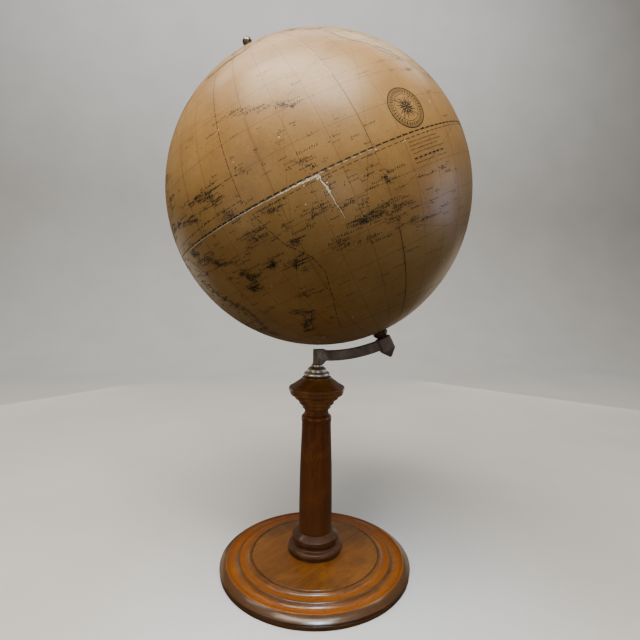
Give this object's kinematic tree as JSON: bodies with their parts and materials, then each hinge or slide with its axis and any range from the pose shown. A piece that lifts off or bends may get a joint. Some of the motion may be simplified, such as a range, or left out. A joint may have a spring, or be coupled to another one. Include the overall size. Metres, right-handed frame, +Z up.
{
  "type": "terrestrial globe",
  "caption": "Inclined school globe that spins on a steel axis held by a short curved arm, which swivels on a turned wooden column with a round moulded foot.",
  "frame": {"origin": "centre of the foot's underside, on the column's axis", "axes": "+Z up along the column, +X towards the arm's end block and the south pole, the north pole leans towards -X in the XZ plane"},
  "size_m": [0.34, 0.34, 0.6169],
  "materials": {
    "map_paper": "aged, varnished, satin",
    "papier_mache": "matte",
    "pale_wood": "bare turned softwood",
    "walnut_foot": "French polished",
    "mahogany": "French polished",
    "dark_wood": "dark stained and polished",
    "nickel": "worn nickel plate",
    "steel": "turned",
    "dark_iron": "browned, worn at the edges",
    "brass": "dull",
    "leather": "waxed"
  },
  "bodies": {
    "stand": {"foot_plate": "walnut_foot", "foot_washer": "steel", "foot_nut": "steel", "column_ring": "dark_wood", "column_shaft": "mahogany", "capital": "dark_wood", "tie_rod": "steel", "ferrule": "nickel"},
    "arm": {"arm": "dark_iron", "set_screw": "steel", "axis_rod": "steel", "axis_pin": "steel", "south_collar": "dark_wood", "south_washer": "leather", "north_washer": "leather", "north_sleeve": "nickel", "finial_knob": "nickel"},
    "globe": {"north_shell": "papier_mache", "south_shell": "papier_mache", "equator_hoop": "pale_wood", "core_tube": "pale_wood", "north_block": "pale_wood", "south_block": "pale_wood", "north_bush": "brass", "south_bush": "brass", "north_cap_paper": "map_paper", "south_cap_paper": "map_paper", "gore_01": "map_paper", "gore_02": "map_paper", "gore_03": "map_paper", "gore_04": "map_paper", "gore_05": "map_paper", "gore_06": "map_paper", "gore_07": "map_paper", "gore_08": "map_paper", "gore_09": "map_paper", "gore_10": "map_paper", "gore_11": "map_paper", "gore_12": "map_paper"}
  },
  "joints": [
    {"name": "arm_swivel", "type": "hinge", "parent": "stand", "child": "arm", "pos_m": [0, 0, 0.255], "axis": [0, 0, 1], "continuous": true},
    {"name": "globe_spin", "type": "hinge", "parent": "arm", "child": "globe", "pos_m": [0, 0, 0.442], "axis": [-0.4384, 0, 0.8988], "continuous": true}
  ]
}
